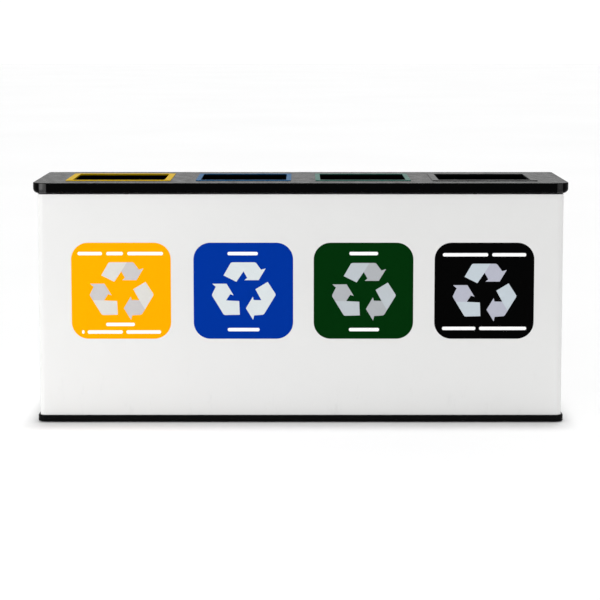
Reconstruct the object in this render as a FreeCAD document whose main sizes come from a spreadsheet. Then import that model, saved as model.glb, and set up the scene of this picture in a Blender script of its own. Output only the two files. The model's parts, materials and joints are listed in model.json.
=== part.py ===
"""Recycling bin station: a long sheet-steel body on a black plinth, under one hinged lid with four
framed openings, each above its own lift-out bin.

Frame: +X to the right seen from the front, the front faces -Y, +Z up. The origin is at the middle
of the footprint, on the floor. Millimetres throughout.
"""

import FreeCAD
import Part
import math
import os
import Sketcher

UP = FreeCAD.Vector(0, 0, 1)
BAYS = ("yellow", "blue", "green", "black")
EDGE_TOLERANCE = 0.01

# Driving dimensions: alias, value, meaning.
SIZES = (
    ("station_height", 600, "floor to the top of the opening frames"),
    ("foot_radius", 22, "rubber foot"),
    ("foot_height", 6, "rubber foot, floor to plinth plate"),
    ("foot_edge_round", 1, "rounding of the foot's lower edge"),
    ("foot_pitch_x", 602, "middle foot to end foot"),
    ("foot_offset_y", 126, "foot to the centre line"),
    ("plinth_length", 1310, "plinth, along X"),
    ("plinth_depth", 340, "plinth, along Y"),
    ("plinth_corner", 20, "plinth, plan corner radius"),
    ("plinth_bottom", 2, "skirt's lower edge above the floor"),
    ("plinth_top", 18, "top of the plinth band"),
    ("plinth_plate_low", 6, "underside of the plinth's plate"),
    ("plinth_plate_top", 9, "the plate that the body stands on"),
    ("plinth_skirt", 6, "skirt's wall thickness"),
    ("plinth_edge_round", 2, "rounding of the plinth's outer edges"),
    ("plinth_play", 0.2, "gap between the body and the plinth's rim"),
    ("body_length", 1300, "wrapped sheet, along X"),
    ("body_depth", 330, "wrapped sheet, along Y"),
    ("body_corner", 15, "wrapped sheet, vertical corner radius"),
    ("body_top", 570, "top edge of the wrapped sheet"),
    ("sheet_gauge", 1.2, "steel sheet of the body"),
    ("floor_play", 0.5, "gap between the floor plate and the sheet round it"),
    ("foot_flange", 25, "wrapped sheet's inward flange at the bottom"),
    ("rear_window_length", 1186, "opening in the wrapped sheet's back"),
    ("rear_sill", 45, "lower edge of that opening"),
    ("rear_panel_length", 1272, "panel that closes the back"),
    ("rear_panel_bottom", 20, "lower edge of the rear panel"),
    ("frame_gauge", 1.5, "steel of the top frame, rails and hinge leaves"),
    ("frame_leg", 25, "depth of the top frame's vertical leg"),
    ("frame_flange", 14, "width of the top frame's flange"),
    ("bay_pitch", 324.4, "partition to partition"),
    ("divider_gauge", 1, "partition sheet"),
    ("divider_top", 545, "top edge of a partition"),
    ("divider_flange", 15, "partition's folded edge"),
    ("screw_pitch_x", 370, "plinth screw spacing along X"),
    ("screw_offset_y", 150, "plinth screws to the centre line"),
    ("screw_radius", 2.9, "plinth screw"),
    ("screw_head_radius", 5.5, "plinth screw's head"),
    ("screw_head", 2.2, "plinth screw's head height"),
    ("screw_hole_radius", 3, "hole for a plinth screw"),
    ("screw_end", 3.5, "lower end of a plinth screw"),
    ("boss_radius", 8, "boss under the plinth plate"),
    ("boss_bottom", 2.5, "lower end of a boss"),
    ("rivet_radius", 2, "rivet shank"),
    ("rivet_hole", 2.05, "hole for a rivet"),
    ("rivet_head", 3.5, "rivet head radius"),
    ("rivet_head_play", 0.05, "gap round a countersunk rivet head"),
    ("rivet_head_height", 1.2, "rivet head height"),
    ("dome_round", 0.9, "rounding of a rivet or screw head"),
    ("rear_rivet_x", 614, "columns of rivets in the rear panel"),
    ("rear_rivet_low", 70, "lowest rivet in a column"),
    ("rear_rivet_pitch", 112, "rivet spacing in a column"),
    ("sill_rivet_z", 32, "row of rivets along the rear sill"),
    ("hinge_pitch", 484, "middle hinge to end hinge"),
    ("hinge_length", 80, "butt hinge, along X"),
    ("hinge_y", 171.5, "hinge axis"),
    ("hinge_z", 566.5, "hinge axis"),
    ("knuckle_radius", 3.8, "hinge knuckle"),
    ("knuckle_bore", 2.05, "bore of a knuckle"),
    ("knuckle_gap", 0.5, "gap between knuckles"),
    ("pin_radius", 2, "hinge pin"),
    ("pin_head_radius", 3, "hinge pin's end button"),
    ("pin_head", 1.5, "thickness of that button"),
    ("leaf_reach", 3, "hinge axis to the nearer edge of either leaf's plate"),
    ("leaf_web_half", 1.5, "half the thickness of the web from plate to knuckle"),
    ("lid_web_start", 2.5, "hinge axis to the lower end of the lid leaf's web"),
    ("leaf_bottom", 540, "lower edge of the leaf on the body"),
    ("leaf_front", 145, "front edge of the leaf on the lid"),
    ("leaf_rivet_x", 25, "rivets to the middle of a leaf"),
    ("leaf_rivet_z", 554, "rivets in the leaf on the body"),
    ("leaf_rivet_y", 154, "rivets in the leaf on the lid"),
    ("lid_length", 1324, "lid, along X"),
    ("lid_depth", 354, "lid, along Y"),
    ("lid_corner", 34, "lid, plan radius of the front corners"),
    ("lid_back_corner", 13, "lid, plan radius of the back corners"),
    ("lid_bottom", 572, "underside of the lid"),
    ("lid_top", 598.5, "top face of the lid"),
    ("lid_wall", 3.8, "lid wall thickness"),
    ("lid_lower_round", 12, "rounding of the lid's lower edge"),
    ("lid_upper_round", 1.5, "rounding of the lid's upper edge"),
    ("lid_inner_round", 8, "rounding inside the lower edge"),
    ("lid_flange", 34, "inward flange under the lid, from its outer face"),
    ("throat_wall", 2.5, "wall round an opening, inside the lid"),
    ("throat_bottom", 577, "lower edge of that wall"),
    ("outer_slot_width", 230, "opening of the two end frames"),
    ("inner_slot_width", 214, "opening of the two middle frames"),
    ("slot_depth", 188, "opening, front to back"),
    ("slot_corner", 8, "opening, corner radius"),
    ("slot_y", 0, "middle of the openings, front to back"),
    ("outer_slot_flange", 16, "flange round the opening of the two end frames"),
    ("inner_slot_flange", 12, "flange round the opening of the two middle frames"),
    ("slot_flange_corner", 6, "flange, outer corner radius"),
    ("slot_edge_round", 0.6, "rounding of a frame's upper edges"),
    ("collar_wall", 2, "frame's collar inside the lid"),
    ("collar_depth", 2.4, "collar's reach below the lid's top face"),
    ("collar_play", 0.2, "gap between a collar and the lid"),
    ("slot_x_yellow", -455.5, "middle of the yellow opening"),
    ("slot_x_blue", -143, "middle of the blue opening"),
    ("slot_x_green", 156, "middle of the green opening"),
    ("slot_x_black", 460, "middle of the black opening"),
    ("rail_length", 1215, "stiffening rail in the lid"),
    ("rail_y", 155, "middle of a rail"),
    ("rail_width", 16, "rail, front to back"),
    ("rail_height", 13, "rail, floor to flange edge"),
    ("rail_rivet_outer", 583, "end rivets of a rail"),
    ("rail_rivet_inner", 242, "inner rivets of a rail"),
    ("flush_head_height", 1, "countersunk rivet head"),
    ("bumper_radius", 5, "rubber bumper"),
    ("bumper_height", 1.6, "rubber bumper"),
    ("bumper_x", 430, "bumpers to the middle"),
    ("bumper_y", 156, "bumpers to the centre line"),
    ("label_width", 246.5, "front label, along X"),
    ("label_height", 240, "front label, along Z"),
    ("label_corner", 42, "front label, corner radius"),
    ("label_gauge", 0.2, "vinyl thickness"),
    ("label_z", 330, "middle of the labels"),
    ("label_x_yellow", -444.5, "middle of the yellow label"),
    ("label_x_blue", -142, "middle of the blue label"),
    ("label_x_green", 155.5, "middle of the green label"),
    ("label_x_black", 454.5, "middle of the black label"),
    ("bin_x_outer", 480, "end bins to the middle"),
    ("bin_x_inner", 162.2, "middle bins to the middle"),
    ("bin_bottom", 11.8, "underside of a bin"),
    ("bin_top", 515, "rim of a bin"),
    ("bin_base_length", 258, "bin at its bottom, along X"),
    ("bin_base_depth", 256, "bin at its bottom, along Y"),
    ("bin_corner", 26, "bin, plan corner radius at its bottom"),
    ("bin_wall", 2.5, "bin wall"),
    ("bin_draft", 1.5, "bin wall's slope in degrees"),
    ("rim_length", 296, "bin rim, along X"),
    ("rim_depth", 294, "bin rim, along Y"),
    ("rim_skirt", 15, "turned-down edge of the rim"),
    ("rim_skirt_wall", 1.8, "thickness of that edge"),
    ("rim_corner", 45, "bin rim, plan corner radius"),
    ("bin_floor_round", 5, "rounding round the bin's bottom"),
    ("grip_length", 90, "hand-hold in a bin's side"),
    ("grip_height", 26, "hand-hold in a bin's side"),
    ("grip_corner", 12.5, "hand-hold, corner radius"),
    ("grip_z", 482, "middle of the hand-holds"),
    ("ring_wire", 4, "bag ring's wire"),
    ("ring_length", 288, "bag ring's centre line, along X"),
    ("ring_depth", 286, "bag ring's centre line, along Y"),
    ("ring_corner", 41, "bag ring's centre line, corner radius"),
    ("ring_edge_round", 1.9, "rounding of the wire"),
)

doc = FreeCAD.newDocument("RecyclingStation")
sheet = doc.addObject("Spreadsheet::Sheet", "Sizes")
for row, (alias, number, meaning) in enumerate(SIZES, start=1):
    sheet.set(f"A{row}", meaning)
    sheet.set(f"B{row}", str(number))
    sheet.setAlias(f"B{row}", alias)
doc.recompute()

parts = []


# ---- Sheet, sketch and feature helpers ------------------------------------------------------

def expression(words):
    """Turn a formula of plain aliases into one that names the sheet."""
    pieces = []
    for piece in words.replace("(", " ( ").replace(")", " ) ").split():
        is_alias = piece[0].isalpha()
        pieces.append("Sizes." + piece if is_alias else piece)
    return " ".join(pieces)


def value(words):
    """The number that a formula gives."""
    return float(sheet.evalExpression(expression(words)))


def new_body(name):
    body = doc.addObject("PartDesign::Body", name)
    body.Label = name
    parts.append(body)
    return body


def place(body, x="0", y="0", z="0"):
    """Bind a body's Placement to the sheet."""
    for axis, words in (("x", x), ("y", y), ("z", z)):
        body.setExpression(f"Placement.Base.{axis}", expression(words))


def new_sketch(body, plane="XY", offset="0"):
    """A sketch on one of the body's origin planes, moved along that plane's normal."""
    sketch = body.newObject("Sketcher::SketchObject", body.Name + "_sketch")
    support = [item for item in body.Origin.OriginFeatures if item.Role == plane + "_Plane"]
    sketch.AttachmentSupport = (support[0], [""])
    sketch.MapMode = "FlatFace"
    sketch.setExpression("AttachmentOffset.Base.z", expression(offset))
    return sketch


def bind(sketch, kind, where, words):
    """Add one sized constraint and bind it to the sheet."""
    index = sketch.addConstraint(Sketcher.Constraint(kind, *where, value(words)))
    sketch.setExpression(f"Constraints[{index}]", expression(words))


def draw_circle(sketch, x, y, radius):
    centre = FreeCAD.Vector(value(x), value(y), 0)
    circle = sketch.addGeometry(Part.Circle(centre, UP, value(radius)))
    bind(sketch, "DistanceX", (-1, 1, circle, 3), x)
    bind(sketch, "DistanceY", (-1, 1, circle, 3), y)
    bind(sketch, "Radius", (circle,), radius)


def draw_box(sketch, low_x, high_x, low_y, high_y):
    """A rectangle with sharp corners, from its four sides."""
    left, right = value(low_x), value(high_x)
    bottom, top = value(low_y), value(high_y)
    corners = [(left, bottom), (right, bottom), (right, top), (left, top)]
    points = [FreeCAD.Vector(x, y, 0) for x, y in corners]
    first = len(sketch.Geometry)
    for index in range(4):
        sketch.addGeometry(Part.LineSegment(points[index], points[(index + 1) % 4]))
    for index in range(4):
        ends = (first + index, 2, first + (index + 1) % 4, 1)
        sketch.addConstraint(Sketcher.Constraint("Coincident", *ends))
        direction = "Vertical" if index % 2 else "Horizontal"
        sketch.addConstraint(Sketcher.Constraint(direction, first + index))
    bind(sketch, "DistanceX", (-1, 1, first, 1), low_x)
    bind(sketch, "DistanceX", (-1, 1, first + 1, 1), high_x)
    bind(sketch, "DistanceY", (-1, 1, first, 1), low_y)
    bind(sketch, "DistanceY", (-1, 1, first + 2, 1), high_y)


def draw_rounded(sketch, width, height, radius, x="0", y="0", far_radius=None):
    """A rectangle with round corners about the point x, y: four lines and four tangent arcs. The
    two corners at the far side, towards +Y, can have a radius of their own."""
    half_width, half_height = value(width) / 2, value(height) / 2
    near, far = value(radius), value(far_radius or radius)
    round_sizes = (near, far, far, near)
    quarter_turn = math.pi / 2
    middle = FreeCAD.Vector(value(x), value(y), 0)
    first = len(sketch.Geometry)
    for quarter, size in enumerate(round_sizes):
        turn = FreeCAD.Rotation(UP, 90 * quarter)
        along, across = (half_width, half_height) if quarter % 2 == 0 else (half_height, half_width)
        start = FreeCAD.Vector(round_sizes[quarter - 1] - along, -across, 0)
        end = FreeCAD.Vector(along - size, -across, 0)
        centre = FreeCAD.Vector(along - size, size - across, 0)
        sketch.addGeometry(Part.LineSegment(middle + turn * start, middle + turn * end))
        circle = Part.Circle(middle + turn * centre, UP, size)
        angle = (quarter - 1) * quarter_turn
        sketch.addGeometry(Part.ArcOfCircle(circle, angle, angle + quarter_turn))
    for index in range(8):
        ends = (first + index, 2, first + (index + 1) % 8, 1)
        sketch.addConstraint(Sketcher.Constraint("Tangent", *ends))
    for index, direction in ((0, "Horizontal"), (2, "Vertical"), (4, "Horizontal"), (6, "Vertical")):
        sketch.addConstraint(Sketcher.Constraint(direction, first + index))
    sketch.addConstraint(Sketcher.Constraint("Equal", first + 1, first + 7))
    sketch.addConstraint(Sketcher.Constraint("Equal", first + 3, first + 5))
    bind(sketch, "Radius", (first + 1,), radius)
    bind(sketch, "Radius", (first + 3,), far_radius or radius)
    bind(sketch, "DistanceX", (first + 6, 1, first + 2, 1), width)
    bind(sketch, "DistanceY", (first, 1, first + 4, 1), height)
    bind(sketch, "DistanceX", (-1, 1, first + 6, 1), f"{x} - ( {width} ) / 2")
    bind(sketch, "DistanceY", (-1, 1, first, 1), f"{y} - ( {height} ) / 2")


def pad(body, sketch, length, reverse=False, middle=False, slope=None):
    """Add material along the sketch's normal."""
    feature = body.newObject("PartDesign::Pad", body.Name + "_pad")
    feature.Profile = sketch
    feature.setExpression("Length", expression(length))
    feature.Reversed = reverse
    feature.Midplane = middle
    if slope:
        feature.setExpression("TaperAngle", expression(slope))
    return feature


def pocket(body, sketch, length, reverse=False, middle=False, slope=None):
    """Cut against the sketch's normal, or along it when reversed, and make sure something went."""
    doc.recompute()
    before = body.Shape.Volume
    feature = body.newObject("PartDesign::Pocket", body.Name + "_pocket")
    feature.Profile = sketch
    feature.setExpression("Length", expression(length))
    feature.Reversed = reverse
    feature.Midplane = middle
    if slope:
        feature.setExpression("TaperAngle", expression(slope))
    doc.recompute()
    if body.Shape.Volume > before - 0.01:
        raise RuntimeError(f"a pocket in {body.Label} cuts nothing")
    return feature


def soften(body, radius, chosen):
    """Round the edges for which chosen(edge) is true."""
    doc.recompute()
    base = body.Tip
    names = [f"Edge{index}" for index, edge in enumerate(base.Shape.Edges, start=1) if chosen(edge)]
    if not names:
        raise RuntimeError(f"no edge to round in {body.Label}")
    feature = body.newObject("PartDesign::Fillet", body.Name + "_fillet")
    feature.Base = (base, names)
    feature.setExpression("Radius", expression(radius))
    doc.recompute()
    return feature


def lies_at(axis, words):
    """A test for edges that lie wholly at one coordinate."""
    level = value(words)

    def test(edge):
        box = edge.BoundBox
        ends = (getattr(box, axis + "Min"), getattr(box, axis + "Max"))
        return all(abs(end - level) < EDGE_TOLERANCE for end in ends)
    return test


def rounds(name, plane, centres, layers, domed=()):
    """Turned pieces, one at each centre. A layer is its start and length along the normal, and
    its radius. Each level in domed, counted along the normal, has its rim rounded."""
    body = new_body(name)
    for start, length, radius in layers:
        sketch = new_sketch(body, plane, start)
        for x, y in centres:
            draw_circle(sketch, x, y, radius)
        pad(body, sketch, length)
    axis, sign = {"XY": ("Z", ""), "XZ": ("Y", "-1 * "), "YZ": ("X", "")}[plane]
    for level in domed:
        soften(body, "dome_round", lies_at(axis, f"{sign}( {level} )"))
    return body


def drill(body, plane, offset, centres, radius, depth, reverse=False):
    """Round holes at the centres, from a plane."""
    sketch = new_sketch(body, plane, offset)
    for x, y in centres:
        draw_circle(sketch, x, y, radius)
    pocket(body, sketch, depth, reverse)


def signed(alias):
    """A size and its opposite."""
    return [f"{sign} * {alias}" for sign in (-1, 1)]


# ---- Where the fasteners go -----------------------------------------------------------------

PLINTH_SCREWS = [(f"{k} * screw_pitch_x", y) for k in (-1.5, -0.5, 0.5, 1.5)
                 for y in signed("screw_offset_y")]
REAR_RIVETS = [(x, f"rear_rivet_low + {k} * rear_rivet_pitch") for x in signed("rear_rivet_x")
               for k in range(5)]
SILL_RIVETS = [(f"{k} * hinge_pitch", "sill_rivet_z") for k in (-1, -0.33, 0.33, 1)]
BODY_LEAF_RIVETS = [(f"{k} * hinge_pitch + {side} * leaf_rivet_x", "leaf_rivet_z")
                    for k in (-1, 0, 1) for side in (-1, 1)]
LID_LEAF_RIVETS = [(f"{k} * hinge_pitch + {side} * leaf_rivet_x", "leaf_rivet_y")
                   for k in (-1, 0, 1) for side in (-1, 1)]
RAIL_RIVETS = [(x, y) for x in signed("rail_rivet_outer") + signed("rail_rivet_inner")
               for y in signed("rail_y")]


# ---- Plinth and feet ------------------------------------------------------------------------

def make_plinth():
    """A moulded tray: a skirt, a plate that the body stands on, a rim round the body's foot."""
    body = new_body("base_plinth")
    outside = new_sketch(body, "XY", "plinth_bottom")
    draw_rounded(outside, "plinth_length", "plinth_depth", "plinth_corner")
    pad(body, outside, "plinth_top - plinth_bottom")
    soften(body, "plinth_edge_round", lies_at("Z", "plinth_top"))
    soften(body, "plinth_edge_round", lies_at("Z", "plinth_bottom"))
    rim = new_sketch(body, "XY", "plinth_top")
    draw_rounded(rim, "body_length + 2 * plinth_play", "body_depth + 2 * plinth_play",
                 "body_corner + plinth_play")
    pocket(body, rim, "plinth_top - plinth_plate_top")
    hollow = new_sketch(body, "XY", "plinth_plate_low")
    draw_rounded(hollow, "plinth_length - 2 * plinth_skirt", "plinth_depth - 2 * plinth_skirt",
                 "plinth_corner - plinth_skirt")
    pocket(body, hollow, "plinth_plate_low - plinth_bottom")
    bosses = new_sketch(body, "XY", "boss_bottom")
    for x, y in PLINTH_SCREWS:
        draw_circle(bosses, x, y, "boss_radius")
    pad(body, bosses, "plinth_plate_low - boss_bottom")
    drill(body, "XY", "plinth_plate_top", PLINTH_SCREWS, "screw_hole_radius",
          "plinth_plate_top - boss_bottom")


def make_feet():
    """Six rubber feet inside the plinth's skirt, each with a softened lower edge."""
    for row, y in enumerate(signed("foot_offset_y"), start=1):
        for column, k in enumerate((-1, 0, 1), start=1):
            foot = rounds(f"foot_{row}{column}", "XY", [("0", "0")],
                          [("0", "foot_height", "foot_radius")])
            place(foot, f"{k} * foot_pitch_x", y)
            soften(foot, "foot_edge_round", lies_at("Z", "0"))


# ---- Body -----------------------------------------------------------------------------------

def draw_ring(sketch, length, depth, radius, wall):
    """A closed ring of even width: an outline and another inside it."""
    draw_rounded(sketch, length, depth, radius)
    draw_rounded(sketch, f"{length} - 2 * ( {wall} )", f"{depth} - 2 * ( {wall} )",
                 f"{radius} - ( {wall} )")


def make_body_wrap():
    """One sheet folded round the front, the sides and a strip of the back, with a foot flange."""
    body = new_body("body_wrap")
    walls = new_sketch(body, "XY", "plinth_plate_top")
    draw_ring(walls, "body_length", "body_depth", "body_corner", "sheet_gauge")
    pad(body, walls, "body_top - plinth_plate_top")
    flange = new_sketch(body, "XY", "plinth_plate_top")
    draw_rounded(flange, "body_length", "body_depth", "body_corner")
    draw_box(flange, "foot_flange - body_length / 2", "body_length / 2 - foot_flange",
             "foot_flange - body_depth / 2", "body_depth / 2 - foot_flange")
    pad(body, flange, "sheet_gauge")
    window = new_sketch(body, "XZ", "2 * sheet_gauge - body_depth / 2")
    draw_box(window, "-1 * rear_window_length / 2", "rear_window_length / 2",
             "rear_sill", "body_top + sheet_gauge")
    pocket(body, window, "3 * sheet_gauge")
    drill(body, "XZ", "2 * sheet_gauge - body_depth / 2", REAR_RIVETS + SILL_RIVETS,
          "rivet_hole", "3 * sheet_gauge")
    drill(body, "XY", "plinth_plate_top + sheet_gauge", PLINTH_SCREWS, "screw_hole_radius",
          "sheet_gauge")


def make_rear_panel():
    body = new_body("rear_panel")
    outline = new_sketch(body, "XZ", "-1 * body_depth / 2")
    draw_box(outline, "-1 * rear_panel_length / 2", "rear_panel_length / 2",
             "rear_panel_bottom", "body_top")
    pad(body, outline, "sheet_gauge", reverse=True)
    drill(body, "XZ", "-1 * body_depth / 2", REAR_RIVETS + SILL_RIVETS + BODY_LEAF_RIVETS,
          "rivet_hole", "sheet_gauge")


def make_floor_plate():
    body = new_body("floor_plate")
    outline = new_sketch(body, "XY", "plinth_plate_top + sheet_gauge")
    margin = "sheet_gauge + floor_play"
    draw_rounded(outline, f"body_length - 2 * ( {margin} )", f"body_depth - 2 * ( {margin} )",
                 f"body_corner - ( {margin} )")
    pad(body, outline, "sheet_gauge")
    drill(body, "XY", "plinth_plate_top + 2 * sheet_gauge", PLINTH_SCREWS, "screw_hole_radius",
          "sheet_gauge")


def make_top_frame():
    """An angle-section frame just inside the body's top edge."""
    body = new_body("top_frame")
    length = "body_length - 2 * sheet_gauge"
    depth = "body_depth - 2 * sheet_gauge"
    corner = "body_corner - sheet_gauge"
    leg = new_sketch(body, "XY", "body_top - frame_leg")
    draw_ring(leg, length, depth, corner, "frame_gauge")
    pad(body, leg, "frame_leg")
    flange = new_sketch(body, "XY", "body_top - frame_gauge")
    draw_rounded(flange, length, depth, corner)
    draw_box(flange, "sheet_gauge + frame_flange - body_length / 2",
             "body_length / 2 - sheet_gauge - frame_flange",
             "sheet_gauge + frame_flange - body_depth / 2",
             "body_depth / 2 - sheet_gauge - frame_flange")
    pad(body, flange, "frame_gauge")
    drill(body, "XZ", "sheet_gauge + 2 * frame_gauge - body_depth / 2", BODY_LEAF_RIVETS,
          "rivet_hole", "3 * frame_gauge")


def make_dividers():
    """Three partitions, each a sheet with one edge folded at the front and one at the back."""
    for number, k in enumerate((-1, 0, 1), start=1):
        body = new_body(f"divider_{number}")
        place(body, x=f"{k} * bay_pitch")
        section = new_sketch(body, "XY", "plinth_plate_top + 2 * sheet_gauge")
        draw_box(section, "-1 * divider_gauge / 2", "divider_gauge / 2",
                 "sheet_gauge - body_depth / 2", "body_depth / 2 - sheet_gauge")
        pad(body, section, "divider_top - plinth_plate_top - 2 * sheet_gauge")
        folds = new_sketch(body, "XY", "plinth_plate_top + 2 * sheet_gauge")
        for low, high in (("sheet_gauge - body_depth / 2",
                           "sheet_gauge + divider_gauge - body_depth / 2"),
                          ("body_depth / 2 - sheet_gauge - divider_gauge",
                           "body_depth / 2 - sheet_gauge")):
            draw_box(folds, "-1 * divider_gauge / 2", "divider_flange", low, high)
        pad(body, folds, "divider_top - plinth_plate_top - 2 * sheet_gauge")


def make_body_fasteners():
    rounds("plinth_screws", "XY", PLINTH_SCREWS, [
        ("screw_end", "plinth_plate_top + 2 * sheet_gauge - screw_end", "screw_radius"),
        ("plinth_plate_top + 2 * sheet_gauge", "screw_head", "screw_head_radius"),
    ], domed=["plinth_plate_top + 2 * sheet_gauge + screw_head"])
    head = "rivet_head_height"
    rounds("rear_rivets", "XZ", REAR_RIVETS + SILL_RIVETS, [
        (f"-1 * body_depth / 2 - sheet_gauge - {head}", head, "rivet_head"),
        ("-1 * body_depth / 2 - sheet_gauge", "2 * sheet_gauge", "rivet_radius"),
        ("sheet_gauge - body_depth / 2", head, "rivet_head"),
    ], domed=[f"-1 * body_depth / 2 - sheet_gauge - {head}"])
    rounds("hinge_rivets_body", "XZ", BODY_LEAF_RIVETS, [
        (f"-1 * body_depth / 2 - sheet_gauge - frame_gauge - {head}", head, "rivet_head"),
        ("-1 * body_depth / 2 - sheet_gauge - frame_gauge",
         "2 * sheet_gauge + 2 * frame_gauge", "rivet_radius"),
        ("sheet_gauge + frame_gauge - body_depth / 2", head, "rivet_head"),
    ], domed=[f"-1 * body_depth / 2 - sheet_gauge - frame_gauge - {head}"])
    rounds("lid_bumpers", "XY", [(x, y) for x in signed("bumper_x") for y in signed("bumper_y")],
           [("body_top", "bumper_height", "bumper_radius")],
           domed=["body_top + bumper_height"])


def make_labels():
    """Vinyl labels on the front face."""
    for colour in BAYS:
        body = new_body(f"label_{colour}")
        place(body, f"label_x_{colour}", "-1 * body_depth / 2", "label_z")
        outline = new_sketch(body, "XZ")
        draw_rounded(outline, "label_width", "label_height", "label_corner")
        pad(body, outline, "label_gauge")


# ---- Hinges ---------------------------------------------------------------------------------

def make_leaf(name, place_x, plate, bridge, spans):
    """A hinge leaf: a plate, a web to the knuckles, and the knuckles, bored for the pin."""
    body = new_body(name)
    place(body, x=place_x)
    section = new_sketch(body, "YZ")
    draw_box(section, *plate)
    pad(body, section, "hinge_length", middle=True)
    for start, length in spans:
        web = new_sketch(body, "YZ", start)
        draw_box(web, *bridge)
        pad(body, web, length)
        knuckle = new_sketch(body, "YZ", start)
        draw_circle(knuckle, "hinge_y", "hinge_z", "knuckle_radius")
        pad(body, knuckle, length)
    bore = new_sketch(body, "YZ")
    draw_circle(bore, "hinge_y", "hinge_z", "knuckle_bore")
    pocket(body, bore, "2 * hinge_length", middle=True)
    return body


def make_hinges():
    third = "( hinge_length - 2 * knuckle_gap ) / 3"
    end_spans = [("-1 * hinge_length / 2", third), (f"hinge_length / 2 - {third}", third)]
    middle_span = [(f"-1 * {third} / 2", third)]
    back = "body_depth / 2 + sheet_gauge"
    for number, k in enumerate((-1, 0, 1), start=1):
        where = f"{k} * hinge_pitch"
        body_leaf = make_leaf(
            f"hinge_{number}_body_leaf", where,
            (back, f"{back} + frame_gauge", "leaf_bottom", "hinge_z - leaf_reach"),
            (back, "hinge_y - leaf_web_half", "hinge_z - leaf_reach", "hinge_z + leaf_web_half"),
            end_spans)
        drill(body_leaf, "XZ", f"-1 * ( {back} )",
              [(f"{side} * leaf_rivet_x", "leaf_rivet_z") for side in (-1, 1)],
              "rivet_hole", "frame_gauge")
        lid_leaf = make_leaf(
            f"hinge_{number}_lid_leaf", where,
            ("leaf_front", "hinge_y - leaf_reach", "lid_bottom - frame_gauge", "lid_bottom"),
            ("hinge_y - leaf_reach", "hinge_y + leaf_web_half", "hinge_z + lid_web_start",
             "lid_bottom"), middle_span)
        leaf_holes = [(f"{side} * leaf_rivet_x", "leaf_rivet_y") for side in (-1, 1)]
        drill(lid_leaf, "XY", "lid_bottom", leaf_holes, "rivet_hole", "frame_gauge")
        drill(lid_leaf, "XY", "lid_bottom - frame_gauge + flush_head_height", leaf_holes,
              "rivet_head", "flush_head_height")
        pin = rounds(f"hinge_{number}_pin", "YZ", [("hinge_y", "hinge_z")], [
            ("-1 * hinge_length / 2 - pin_head", "pin_head", "pin_head_radius"),
            ("-1 * hinge_length / 2", "hinge_length", "pin_radius"),
            ("hinge_length / 2", "pin_head", "pin_head_radius"),
        ], domed=["-1 * hinge_length / 2 - pin_head", "hinge_length / 2 + pin_head"])
        place(pin, x=where)


# ---- Lid ------------------------------------------------------------------------------------

def slot_size(colour, name):
    """The alias of a size that the two end bays share, or that the two middle bays share."""
    return f"outer_slot_{name}" if colour in ("yellow", "black") else f"inner_slot_{name}"


def draw_slots(sketch, margin):
    """The four openings, each grown by a margin."""
    for colour in BAYS:
        draw_rounded(sketch, f"{slot_size(colour, 'width')} + 2 * ( {margin} )",
                     f"slot_depth + 2 * ( {margin} )", f"slot_corner + {margin}",
                     f"slot_x_{colour}", "slot_y")


def make_lid_shell():
    """A hollow moulding: outer walls, a flange turned in underneath, a throat at each opening."""
    body = new_body("lid_shell")
    outline = new_sketch(body, "XY", "lid_bottom")
    draw_rounded(outline, "lid_length", "lid_depth", "lid_corner", far_radius="lid_back_corner")
    pad(body, outline, "lid_top - lid_bottom")
    soften(body, "lid_lower_round", lies_at("Z", "lid_bottom"))
    soften(body, "lid_upper_round", lies_at("Z", "lid_top"))
    cavity = new_sketch(body, "XY", "lid_top - lid_wall")
    draw_rounded(cavity, "lid_length - 2 * lid_wall", "lid_depth - 2 * lid_wall",
                 "lid_corner - lid_wall", far_radius="lid_back_corner - lid_wall")
    pocket(body, cavity, "lid_top - lid_bottom - 2 * lid_wall")
    soften(body, "lid_inner_round", lies_at("Z", "lid_bottom + lid_wall"))
    mouth = new_sketch(body, "XY", "lid_bottom + lid_wall")
    draw_box(mouth, "lid_flange - lid_length / 2", "lid_length / 2 - lid_flange",
             "lid_flange - lid_depth / 2", "lid_depth / 2 - lid_flange")
    pocket(body, mouth, "lid_wall")
    throats = new_sketch(body, "XY", "throat_bottom")
    draw_slots(throats, "collar_wall + throat_wall")
    pad(body, throats, "lid_top - lid_wall - throat_bottom")
    openings = new_sketch(body, "XY", "lid_top")
    draw_slots(openings, "collar_wall")
    pocket(body, openings, "lid_top - throat_bottom")
    drill(body, "XY", "lid_bottom + lid_wall", RAIL_RIVETS + LID_LEAF_RIVETS, "rivet_hole",
          "lid_wall")
    drill(body, "XY", "lid_bottom + flush_head_height", RAIL_RIVETS, "rivet_head",
          "flush_head_height")


def make_slot_frames():
    """A flat flange on the lid round each opening, with a short collar inside it."""
    for colour in BAYS:
        body = new_body(f"opening_frame_{colour}")
        place(body, f"slot_x_{colour}", "slot_y")
        width = slot_size(colour, "width")
        flange_width = slot_size(colour, "flange")
        flange = new_sketch(body, "XY", "lid_top")
        draw_rounded(flange, f"{width} + 2 * {flange_width}", f"slot_depth + 2 * {flange_width}",
                     "slot_flange_corner")
        pad(body, flange, "station_height - lid_top")
        collar = new_sketch(body, "XY", "lid_top - collar_depth")
        margin = "collar_wall - collar_play"
        draw_rounded(collar, f"{width} + 2 * ( {margin} )", f"slot_depth + 2 * ( {margin} )",
                     f"slot_corner + {margin}")
        pad(body, collar, "collar_depth")
        opening = new_sketch(body, "XY", "station_height")
        draw_rounded(opening, width, "slot_depth", "slot_corner")
        pocket(body, opening, "station_height - lid_top + collar_depth")
        soften(body, "slot_edge_round", lies_at("Z", "station_height"))


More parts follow.
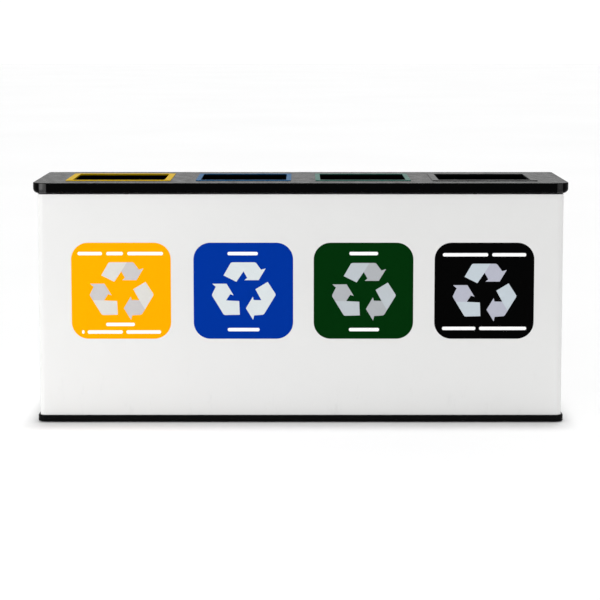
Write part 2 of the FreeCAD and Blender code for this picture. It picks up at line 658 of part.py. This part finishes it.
def make_lid_rails():
    """Two channel rails that lie on the flange inside the lid."""
    for name, side in (("lid_rail_front", -1), ("lid_rail_rear", 1)):
        body = new_body(name)
        place(body, y=f"{side} * rail_y", z="lid_bottom + lid_wall")
        base = new_sketch(body, "XY")
        draw_box(base, "-1 * rail_length / 2", "rail_length / 2",
                 "-1 * rail_width / 2", "rail_width / 2")
        pad(body, base, "rail_height")
        groove = new_sketch(body, "XY", "rail_height")
        draw_box(groove, "-1 * rail_length", "rail_length",
                 "frame_gauge - rail_width / 2", "rail_width / 2 - frame_gauge")
        pocket(body, groove, "rail_height - frame_gauge")
        holes = [(x, "0") for x in signed("rail_rivet_outer") + signed("rail_rivet_inner")]
        if side > 0:
            holes += [(x, "leaf_rivet_y - rail_y") for x, y in LID_LEAF_RIVETS]
        drill(body, "XY", "frame_gauge", holes, "rivet_hole", "frame_gauge")


def make_lid_fasteners():
    rail_floor = "lid_bottom + lid_wall + frame_gauge"
    rounds("rail_rivets", "XY", RAIL_RIVETS, [
        ("lid_bottom", "flush_head_height", "rivet_head - rivet_head_play"),
        ("lid_bottom", f"{rail_floor} - lid_bottom", "rivet_radius"),
        (rail_floor, "rivet_head_height", "rivet_head"),
    ], domed=[f"{rail_floor} + rivet_head_height"])
    rounds("hinge_rivets_lid", "XY", LID_LEAF_RIVETS, [
        ("lid_bottom - frame_gauge", "flush_head_height", "rivet_head - rivet_head_play"),
        ("lid_bottom - frame_gauge", f"{rail_floor} - lid_bottom + frame_gauge", "rivet_radius"),
        (rail_floor, "rivet_head_height", "rivet_head"),
    ], domed=[f"{rail_floor} + rivet_head_height"])


# ---- Inner bins -----------------------------------------------------------------------------

def make_bin(colour, x):
    """A tapered moulded bin with a turned-down rim and a hand-hold in each end."""
    body = new_body(f"inner_bin_{colour}")
    place(body, x)
    base = new_sketch(body, "XY", "bin_bottom")
    draw_rounded(base, "bin_base_length", "bin_base_depth", "bin_corner")
    pad(body, base, "bin_top - bin_bottom", slope="bin_draft")
    soften(body, "bin_floor_round", lies_at("Z", "bin_bottom"))
    rim = new_sketch(body, "XY", "bin_top - bin_wall")
    draw_rounded(rim, "rim_length", "rim_depth", "rim_corner")
    pad(body, rim, "bin_wall")
    skirt = new_sketch(body, "XY", "bin_top - rim_skirt")
    draw_ring(skirt, "rim_length", "rim_depth", "rim_corner", "rim_skirt_wall")
    pad(body, skirt, "rim_skirt")
    hollow = new_sketch(body, "XY", "bin_bottom + bin_wall")
    draw_rounded(hollow, "bin_base_length - 2 * bin_wall", "bin_base_depth - 2 * bin_wall",
                 "bin_corner - bin_wall")
    pocket(body, hollow, "bin_top - bin_bottom - bin_wall", reverse=True, slope="bin_draft")
    grips = new_sketch(body, "YZ")
    draw_rounded(grips, "grip_length", "grip_height", "grip_corner", y="grip_z")
    pocket(body, grips, "2 * rim_length", middle=True)


def make_bag_ring(colour, x):
    """A wire ring that lies on the rim and holds the bag."""
    body = new_body(f"bag_ring_{colour}")
    place(body, x)
    ring = new_sketch(body, "XY", "bin_top")
    draw_ring(ring, "ring_length + ring_wire", "ring_depth + ring_wire",
              "ring_corner + ring_wire / 2", "ring_wire")
    pad(body, ring, "ring_wire")
    bottom = lies_at("Z", "bin_top")
    top = lies_at("Z", "bin_top + ring_wire")
    soften(body, "ring_edge_round", lambda edge: bottom(edge) or top(edge))


make_plinth()
make_feet()
make_body_wrap()
make_rear_panel()
make_floor_plate()
make_top_frame()
make_dividers()
make_body_fasteners()
make_labels()
make_hinges()
make_lid_shell()
make_slot_frames()
make_lid_rails()
make_lid_fasteners()
BIN_PLACES = ("-1 * bin_x_outer", "-1 * bin_x_inner", "bin_x_inner", "bin_x_outer")
for bay, bin_x in zip(BAYS, BIN_PLACES):
    make_bin(bay, bin_x)
    make_bag_ring(bay, bin_x)

doc.recompute()
for item in doc.Objects:
    if "Invalid" in item.State or "Error" in item.State:
        raise RuntimeError(f"{item.Label} failed: {item.State}")
for part in parts:
    if part.Shape.isNull() or not part.Shape.isValid() or not part.Shape.Solids:
        raise RuntimeError(f"{part.Label} has no valid shape")

os.makedirs("parts", exist_ok=True)
for part in parts:
    part.Shape.exportStep(os.path.join("parts", part.Label + ".step"))
print(len(parts), "sub-parts written")
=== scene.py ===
"""Looks of the recycling bin station: materials for every CAD node, the printed graphics on the
labels, and the studio. Metres; X runs right along the front, the front faces -Y, Z is up.
"""

import json
import math

import bmesh
import bpy
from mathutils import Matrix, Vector


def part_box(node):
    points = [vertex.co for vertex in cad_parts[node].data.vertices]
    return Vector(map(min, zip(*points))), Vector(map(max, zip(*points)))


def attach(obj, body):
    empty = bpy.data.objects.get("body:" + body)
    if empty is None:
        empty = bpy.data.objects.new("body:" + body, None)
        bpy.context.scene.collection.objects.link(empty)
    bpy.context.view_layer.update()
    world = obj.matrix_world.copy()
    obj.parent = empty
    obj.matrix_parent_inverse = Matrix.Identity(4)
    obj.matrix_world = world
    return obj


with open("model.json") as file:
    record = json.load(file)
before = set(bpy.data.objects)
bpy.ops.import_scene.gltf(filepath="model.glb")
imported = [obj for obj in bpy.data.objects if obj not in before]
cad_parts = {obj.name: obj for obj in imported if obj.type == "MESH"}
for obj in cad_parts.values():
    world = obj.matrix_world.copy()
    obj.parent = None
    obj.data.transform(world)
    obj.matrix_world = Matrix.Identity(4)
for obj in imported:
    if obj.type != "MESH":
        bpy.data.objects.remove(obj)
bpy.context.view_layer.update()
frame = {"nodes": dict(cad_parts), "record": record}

BAYS = ("yellow", "blue", "green", "black")
MM = 0.001


# ---- Materials ------------------------------------------------------------------------------

class Surface:
    """A Principled material whose colour, roughness and relief come from procedural nodes."""

    def __init__(self, name, ior=1.5, metallic=0.0):
        self.material = bpy.data.materials.new(name)
        self.material.use_nodes = True
        self.tree = self.material.node_tree
        self.shader = self.tree.nodes["Principled BSDF"]
        self.shader.inputs["IOR"].default_value = ior
        self.shader.inputs["Metallic"].default_value = metallic
        self.place = self.node("ShaderNodeTexCoord").outputs["Object"]
        self.relief = None

    def node(self, kind, **values):
        made = self.tree.nodes.new(kind)
        for key, setting in values.items():
            setattr(made, key, setting)
        return made

    def link(self, source, target):
        self.tree.links.new(source, target)

    def noise(self, scale, detail=2.0, stretch=(1, 1, 1), rough=0.5):
        """Noise in object space; scale is in waves per metre."""
        mapping = self.node("ShaderNodeMapping")
        mapping.inputs["Scale"].default_value = stretch
        self.link(self.place, mapping.inputs["Vector"])
        noise = self.node("ShaderNodeTexNoise")
        noise.inputs["Scale"].default_value = scale
        noise.inputs["Detail"].default_value = detail
        noise.inputs["Roughness"].default_value = rough
        self.link(mapping.outputs["Vector"], noise.inputs["Vector"])
        return noise.outputs["Fac"]

    def remap(self, source, low, high, start=0.3, end=0.7):
        """Stretch a value that runs start to end so that it runs low to high."""
        made = self.node("ShaderNodeMapRange")
        made.inputs["From Min"].default_value = start
        made.inputs["From Max"].default_value = end
        made.inputs["To Min"].default_value = low
        made.inputs["To Max"].default_value = high
        self.link(source, made.inputs["Value"])
        return made.outputs["Result"]

    def colours(self, factor, first, second):
        """Blend two colours by a factor."""
        made = self.node("ShaderNodeMix", data_type="RGBA")
        self.link(factor, made.inputs["Factor"])
        for socket, colour in (("A", first), ("B", second)):
            target = [item for item in made.inputs if item.name == socket and item.type == "RGBA"][0]
            if isinstance(colour, tuple):
                target.default_value = (*colour, 1)
            else:
                self.link(colour, target)
        return [item for item in made.outputs if item.type == "RGBA"][0]

    def colour(self, source):
        self.link(source, self.shader.inputs["Base Color"])

    def roughness(self, source):
        self.link(source, self.shader.inputs["Roughness"])

    def bump(self, source, height_mm, strength=1.0):
        """Add a layer of relief whose full swing is height_mm."""
        made = self.node("ShaderNodeBump")
        made.inputs["Distance"].default_value = height_mm * MM
        made.inputs["Strength"].default_value = strength
        self.link(source, made.inputs["Height"])
        if self.relief:
            self.link(self.relief, made.inputs["Normal"])
        self.relief = made.outputs["Normal"]
        self.link(self.relief, self.shader.inputs["Normal"])

    def axis(self, name):
        """One coordinate of the point, in metres."""
        split = self.node("ShaderNodeSeparateXYZ")
        self.link(self.place, split.inputs["Vector"])
        return split.outputs[name]

    def maths(self, operation, first, second=None, third=None):
        made = self.node("ShaderNodeMath", operation=operation)
        for socket, item in zip(made.inputs, (first, second, third)):
            if isinstance(item, (int, float)):
                socket.default_value = item
            elif item is not None:
                self.link(item, socket)
        return made.outputs["Value"]

    def between(self, name, low, high):
        """1 where a coordinate lies between two values, 0 elsewhere."""
        middle, half = (low + high) / 2, (high - low) / 2
        return self.maths("COMPARE", self.axis(name), middle, half)

    def inside(self, half_length, half_depth):
        """1 within a distance of the middle along X and along Y, 0 outside it, in metres."""
        return self.maths("MULTIPLY", self.between("X", -half_length, half_length),
                          self.between("Y", -half_depth, half_depth))

    def height_mask(self, low, high):
        """1 below low, 0 above high, in metres above the floor."""
        return self.remap(self.axis("Z"), 1.0, 0.0, low, high)


def shade(colour, factor):
    return tuple(channel * factor for channel in colour)


# The hollow of the body, painted almost black as shade: half its length and half its depth, once
# short of the round corners along X and once along Y.
BODY_HOLLOWS = ((0.635, 0.1645), (0.6495, 0.15))
INSIDE_PAINTED_SHADE = 0.03


def powder_coat(name, colour, roughness, ior):
    """Oven-cured powder coat: a fine orange peel, and faint scuffs near the floor. Painted light
    makes it lighter towards the floor, and painted shade makes it almost black inside the body.
    """
    surface = Surface(name, ior)
    clouds = surface.remap(surface.noise(5.0, 3.0), 0.0, 1.0)
    upper = surface.colours(clouds, shade(colour, 0.985), colour)
    # Painted light: the colour is made lighter towards the floor.
    painted_light_low_down = surface.colours(surface.height_mask(0.05, 0.35), upper, shade(colour, 1.07))
    streaks = surface.remap(surface.noise(38.0, 5.0, (1, 1, 0.35), 0.7), 0.0, 1.0, 0.58, 0.8)
    low_down = surface.maths("MULTIPLY", streaks, surface.height_mask(0.02, 0.16))
    outer = surface.colours(low_down, painted_light_low_down, shade(colour, 0.96))
    # Painted shade: inside the hollow of the body the colour is almost black, where shade falls.
    painted_shade_inside = surface.maths("MAXIMUM", *[surface.inside(*hollow) for hollow in BODY_HOLLOWS])
    surface.colour(surface.colours(painted_shade_inside, outer, shade(colour, INSIDE_PAINTED_SHADE)))
    surface.roughness(surface.remap(surface.noise(60.0, 3.0), roughness - 0.04, roughness + 0.05))
    surface.bump(surface.noise(420.0, 2.0), 0.05, 0.35)
    surface.bump(surface.noise(1500.0, 1.0), 0.015, 0.35)
    return surface.material


def moulded(name, colour, roughness, ior, grain_mm=0.03, haze=1.35):
    """Injection-moulded plastic: spark-eroded grain and faint flow clouds."""
    surface = Surface(name, ior)
    clouds = surface.remap(surface.noise(9.0, 4.0), 0.0, 1.0)
    surface.colour(surface.colours(clouds, colour, shade(colour, haze)))
    surface.roughness(surface.remap(surface.noise(45.0, 4.0), roughness - 0.05, roughness + 0.06))
    surface.bump(surface.noise(1300.0, 2.0, rough=0.7), grain_mm, 0.5)
    return surface


# Where the lid's front corners are polished: from and to along X, and how strongly. The polish
# fades out between two heights, just under the top face.
POLISHED_BANDS = ((-0.644, -0.626, 0.9), (0.631, 0.645, 0.4))
POLISH_FADE = (0.5965, 0.5975)


def lid_moulding(name, colour, roughness, ior):
    """The lid's plastic, with the polish that hands give its two front corners."""
    surface = moulded(name, colour, roughness, ior, 0.004)
    below_top = surface.height_mask(*POLISH_FADE)
    corners = [surface.maths("MULTIPLY", surface.between("X", low, high), weight)
               for low, high, weight in POLISHED_BANDS]
    polished = surface.maths("MULTIPLY", surface.maths("ADD", *corners), below_top)
    surface.link(polished, surface.shader.inputs["Coat Weight"])
    surface.shader.inputs["Coat Roughness"].default_value = 0.45
    return surface.material


# The collar of an opening frame: half its depth, and the heights between which it meets the flange.
COLLAR_HALF_DEPTH = 0.0945
COLLAR_TOP = (0.5988, 0.5995)


def frame_moulding(name, colour, collar_painted_shade=0.08, ior=1.2):
    """An opening frame: its flange in full colour, the collar inside the opening darker as painted
    shade.
    """
    surface = moulded(name, colour, 0.34, ior, 0.006, 1.05)
    flange = surface.shader.inputs["Base Color"].links[0].from_socket
    between_sides = surface.between("Y", -COLLAR_HALF_DEPTH, COLLAR_HALF_DEPTH)
    # Painted shade: the collar inside the opening is coloured darker than the flange.
    collar = surface.maths("MULTIPLY", between_sides, surface.height_mask(*COLLAR_TOP))
    surface.colour(surface.colours(collar, flange, shade(colour, collar_painted_shade)))
    return surface.material


VINYL_IOR = 1.06
VINYL_ROUGHNESS = (0.37, 0.48)


def vinyl(name, colour):
    """Printed film: almost flat, with the ripple that it takes from the paint under it."""
    surface = Surface(name, VINYL_IOR)
    ink = surface.remap(surface.noise(240.0, 3.0), 0.0, 1.0)
    surface.colour(surface.colours(ink, shade(colour, 0.97), colour))
    surface.roughness(surface.remap(surface.noise(30.0, 3.0), *VINYL_ROUGHNESS))
    surface.bump(surface.noise(420.0, 2.0), 0.02, 0.25)
    return surface.material


def sheet_metal(name, colour, roughness, spangle=True):
    """Zinc-coated or plain steel: rolling lines, and spangle on the zinc."""
    surface = Surface(name, metallic=1.0)
    rolled = surface.noise(900.0, 2.0, (0.03, 1, 1))
    tone = surface.remap(rolled, 0.0, 1.0)
    base = surface.colours(tone, shade(colour, 0.9), colour)
    if spangle:
        cells = surface.node("ShaderNodeTexVoronoi")
        cells.inputs["Scale"].default_value = 110.0
        surface.link(surface.place, cells.inputs["Vector"])
        flakes = surface.remap(cells.outputs["Distance"], 0.0, 1.0, 0.0, 0.8)
        base = surface.colours(flakes, base, shade(colour, 0.78))
    surface.colour(base)
    surface.roughness(surface.remap(surface.noise(70.0, 4.0), roughness - 0.08, roughness + 0.1))
    surface.bump(rolled, 0.01, 0.3)
    return surface.material


def rubber(name):
    surface = Surface(name, 1.3)
    dust = surface.remap(surface.noise(120.0, 4.0), 0.0, 1.0)
    surface.colour(surface.colours(dust, (0.012, 0.012, 0.012), (0.03, 0.029, 0.028)))
    surface.roughness(surface.remap(surface.noise(90.0, 3.0), 0.68, 0.85))
    surface.bump(surface.noise(900.0, 2.0), 0.04, 0.5)
    return surface.material


MATERIALS = {
    "white_steel": powder_coat("white_steel", (0.7, 0.7, 0.694), 0.42, 1.25),
    "lid_plastic": lid_moulding("lid_plastic", (0.0005, 0.0005, 0.0006), 0.27, 1.08),
    "plinth_plastic": moulded("plinth_plastic", (0.0025, 0.0025, 0.0027), 0.4, 1.1).material,
    "zinc_steel": sheet_metal("zinc_steel", (0.6, 0.61, 0.62), 0.4),
    "rail_steel": powder_coat("rail_steel", (0.012, 0.012, 0.013), 0.45, 1.3),
    "hinge_steel": powder_coat("hinge_steel", (0.018, 0.018, 0.019), 0.38, 1.4),
    "fixing_steel": sheet_metal("fixing_steel", (0.66, 0.66, 0.67), 0.3, False),
    "ring_steel": sheet_metal("ring_steel", (0.68, 0.69, 0.7), 0.25, False),
    "rubber": rubber("rubber"),
    "bin_plastic": moulded("bin_plastic", (0.003, 0.003, 0.0033), 0.55, 1.1, 0.05).material,
    "frame_yellow": frame_moulding("frame_yellow", (0.62, 0.395, 0.001), 0.45, ior=1.03),
    "frame_blue": frame_moulding("frame_blue", (0.01, 0.1, 0.24), ior=1.05),
    "frame_green": frame_moulding("frame_green", (0.024, 0.13, 0.1), ior=1.09),
    "frame_black": frame_moulding("frame_black", (0.006, 0.006, 0.0065)),
    "label_yellow": vinyl("label_yellow", (1.0, 0.385, 0.0)),
    "label_blue": vinyl("label_blue", (0.0, 0.03, 0.3)),
    "label_green": vinyl("label_green", (0.0005, 0.026, 0.0025)),
    "label_black": vinyl("label_black", (0.0008, 0.0008, 0.0008)),
}
PRINT_WHITE = vinyl("print_white", (0.93, 0.93, 0.93))

# The two inks of each loop, for the tails and for the heads; the blue label's loop is all one ink.
LOOP_INKS = {
    "yellow": ((0.64, 0.63, 0.6), (0.53, 0.51, 0.51)),
    "blue": ((0.64, 0.685, 0.7), (0.64, 0.685, 0.7)),
    "green": ((0.47, 0.51, 0.54), (0.405, 0.42, 0.44)),
    "black": ((0.51, 0.57, 0.615), (0.44, 0.45, 0.525)),
}

for entry in frame["record"]["subparts"]:
    node = frame["nodes"][entry["node"]]
    for slot in node.material_slots:
        slot.material = MATERIALS[entry["material_slot"]]


# ---- Label graphics -------------------------------------------------------------------------

PRINT_THICKNESS = 0.05 * MM


def flat_piece(name, outlines, front, material):
    """Thin printed shapes standing on the plane y = front; each outline is a loop of (x, z)."""
    shape = bmesh.new()
    for outline in outlines:
        back_loop = [shape.verts.new((x, front, z)) for x, z in outline]
        face = shape.faces.new(back_loop)
        grown = bmesh.ops.extrude_face_region(shape, geom=[face])
        moved = [item for item in grown["geom"] if isinstance(item, bmesh.types.BMVert)]
        bmesh.ops.translate(shape, verts=moved, vec=(0, -PRINT_THICKNESS, 0))
    bmesh.ops.recalc_face_normals(shape, faces=shape.faces)
    mesh = bpy.data.meshes.new(name)
    shape.to_mesh(mesh)
    shape.free()
    mesh.materials.append(material)
    piece = bpy.data.objects.new(name, mesh)
    bpy.context.collection.objects.link(piece)
    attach(piece, "station")
    return piece


ARC_STEPS = 6


def rounded_loop(corners):
    """A closed loop from (x, z, radius) corners; each radius becomes an arc tangent to both sides."""
    loop = []
    for index, (x, z, radius) in enumerate(corners):
        corner = Vector((x, z))
        if radius == 0:
            loop.append((x, z))
            continue
        before = (Vector(corners[index - 1][:2]) - corner).normalized()
        after = (Vector(corners[(index + 1) % len(corners)][:2]) - corner).normalized()
        half = before.angle(after) / 2
        middle = corner + (before + after).normalized() * (radius / math.sin(half))
        start = corner + before * (radius / math.tan(half)) - middle
        end = corner + after * (radius / math.tan(half)) - middle
        sweep = start.angle_signed(end)
        for step in range(ARC_STEPS + 1):
            angle = -sweep * step / ARC_STEPS
            cosine, sine = math.cos(angle), math.sin(angle)
            turned_start = (start.x * cosine - start.y * sine, start.x * sine + start.y * cosine)
            loop.append((middle.x + turned_start[0], middle.y + turned_start[1]))
    return loop


# One arrow of the general three-arrow loop, in millimetres about the loop's centre, each corner
# with the radius that rounds it. The arrow is a folded strip: a tail and, past the fold, a head.
FOLD = [(-0.3, 51.3, 0), (14.0, 75.5, 0)]
TAIL = [*FOLD, (-31.5, 75.5, 7), (-50.5, 40.6, 0), (-18.2, 23.7, 0)]
HEAD = [*FOLD, (30.1, 75.5, 7), (43.8, 55.7, 0), (55.5, 59.2, 0), (37.8, 28.1, 0),
        (2.1, 28.0, 0), (9.0, 34.2, 0)]
LOOP_SIZE = 0.985
LOOP_SQUASH = 0.953
LOOP_RIGHT = 0.8
LOOP_UP = {"yellow": 0.5, "blue": 0.4, "green": -1.3, "black": -3.2}

# Where each label has lines of print, they are plain bars: height above the middle of the label,
# then the two ends of each bar, in millimetres.
BARS = {
    "yellow": [(93, (-107, -47)), (93, (-36, 5)), (93, (16, 104)), (-84, (-38, 33)),
               (-103, (-98, -92)), (-103, (-84, 3)), (-103, (12, 98))],
    "blue": [(93, (-39, 36)), (-97, (-39, 40))],
    "green": [(93, (-35, 36)), (-97, (-36, 39))],
    "black": [(90, (-103, 9)), (90, (19, 103)), (-94, (-104, -21)), (-94, (-12, 105))],
}
BAR_HEIGHT = 8.5
BAR_END_ROUND = 0.9


def turned(points, angle):
    """Turn points in millimetres about the origin, then press the result slightly flat."""
    cosine, sine = math.cos(angle) * LOOP_SIZE, math.sin(angle) * LOOP_SIZE
    return [(x * cosine - z * sine, (x * sine + z * cosine) * LOOP_SQUASH) for x, z in points]


def make_label_print(bay):
    low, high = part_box("label_" + bay)
    middle_x, middle_z = (low.x + high.x) / 2, (low.z + high.z) / 2

    def on_label(points, right=0.0, up=0.0):
        return [(middle_x + (x + right) * MM, middle_z + (z + up) * MM) for x, z in points]

    for part, corners, ink in zip(("tails", "heads"), (TAIL, HEAD), LOOP_INKS[bay]):
        outlines = [on_label(turned(rounded_loop(corners), math.tau * index / 3),
                             LOOP_RIGHT, LOOP_UP[bay]) for index in range(3)]
        material = vinyl(f"print_{part}_{bay}", ink)
        flat_piece(f"loop_{part}_{bay}", outlines, low.y, material)
    bars = []
    for height, (left, right) in BARS[bay]:
        half = BAR_HEIGHT / 2
        round_end = min(half, (right - left) / 2) * BAR_END_ROUND
        corners = [(left, height - half, round_end), (right, height - half, round_end),
                   (right, height + half, round_end), (left, height + half, round_end)]
        bars.append(on_label(rounded_loop(corners)))
    flat_piece("print_bars_" + bay, bars, low.y, PRINT_WHITE)


for bay in BAYS:
    make_label_print(bay)


# ---- Studio ---------------------------------------------------------------------------------

FLOOR_FRONT = -3.3
FLOOR_BACK = 40.0
FLOOR_SIDE = 30.0


def studio_floor():
    shape = bmesh.new()
    corners = [(-FLOOR_SIDE, FLOOR_FRONT, 0), (FLOOR_SIDE, FLOOR_FRONT, 0),
               (FLOOR_SIDE, FLOOR_BACK, 0), (-FLOOR_SIDE, FLOOR_BACK, 0)]
    shape.faces.new([shape.verts.new(corner) for corner in corners])
    mesh = bpy.data.meshes.new("studio_floor")
    shape.to_mesh(mesh)
    shape.free()
    floor = bpy.data.objects.new("studio_floor", mesh)
    bpy.context.collection.objects.link(floor)
    surface = Surface("studio_white", 1.1)
    clouds = surface.remap(surface.noise(0.6, 2.0), 0.0, 1.0)
    surface.colour(surface.colours(clouds, (0.93, 0.93, 0.93), (0.95, 0.95, 0.95)))
    surface.roughness(surface.remap(surface.noise(3.0, 2.0), 0.6, 0.7))
    mesh.materials.append(surface.material)


def aimed(name, data, place, target):
    """Put a light at a place, turned to a target, where no camera sees it directly."""
    holder = bpy.data.objects.new(name, data)
    holder.location = place
    holder.rotation_euler = (Vector(target) - Vector(place)).to_track_quat("-Z", "Y").to_euler()
    holder.visible_camera = False
    bpy.context.collection.objects.link(holder)


def strip_light(name, place, target, size, power):
    light = bpy.data.lights.new(name, "AREA")
    light.shape = "RECTANGLE"
    light.size, light.size_y = size
    light.energy = power
    aimed(name, light, place, target)


def overhead_light(name, place, strength, spread_degrees):
    light = bpy.data.lights.new(name, "SUN")
    light.energy = strength
    light.angle = math.radians(spread_degrees)
    aimed(name, light, place, (0, 0, 0))


HORIZON_LIGHT = 1.06
CEILING_LIGHT = 0.62


def studio_world():
    """A white room: bright walls, and a ceiling that leaves some of the floor's light to the lamp."""
    world = bpy.data.worlds.new("studio")
    bpy.context.scene.world = world
    world.use_nodes = True
    tree = world.node_tree
    split = tree.nodes.new("ShaderNodeSeparateXYZ")
    blend = tree.nodes.new("ShaderNodeMapRange")
    blend.interpolation_type = "SMOOTHSTEP"
    for key, number in (("From Min", 0.12), ("From Max", 0.6),
                        ("To Min", HORIZON_LIGHT), ("To Max", CEILING_LIGHT)):
        blend.inputs[key].default_value = number
    tree.links.new(tree.nodes.new("ShaderNodeTexCoord").outputs["Generated"], split.inputs["Vector"])
    tree.links.new(split.outputs["Z"], blend.inputs["Value"])
    background = tree.nodes["Background"]
    background.inputs["Color"].default_value = (1, 1, 1, 1)
    tree.links.new(blend.outputs["Result"], background.inputs["Strength"])


def studio_light():
    """The room, a lamp overhead and a little behind for the shadow in front of the plinth, and a
    tall strip light on each side, the left one stronger."""
    studio_world()
    overhead_light("overhead", (0.05, 0.45, 4.0), 1.2, 8)
    strip_light("strip_left", (-2.2, -1.8, 0.4), (-0.3, 0, 0.3), (0.6, 0.8), 20)
    strip_light("strip_right", (2.2, -1.8, 0.4), (0.3, 0, 0.3), (0.6, 0.8), 5)
    scene = bpy.context.scene
    scene.view_settings.view_transform = "Standard"
    scene.view_settings.look = "None"
    scene.view_settings.exposure = 0.0


def studio_camera():
    """A long lens on the centre line, a little above the lid, tipped down and shifted down."""
    data = bpy.data.cameras.new("camera")
    data.sensor_width = 36
    data.lens = 116.1
    data.shift_y = -0.1337
    data.clip_end = 100
    camera = bpy.data.objects.new("camera", data)
    camera.location = (-0.0017, -4.914, 0.9966)
    camera.rotation_euler = (math.radians(90 - 5.887), 0, 0)
    bpy.context.collection.objects.link(camera)
    bpy.context.scene.camera = camera


studio_floor()
studio_light()
studio_camera()
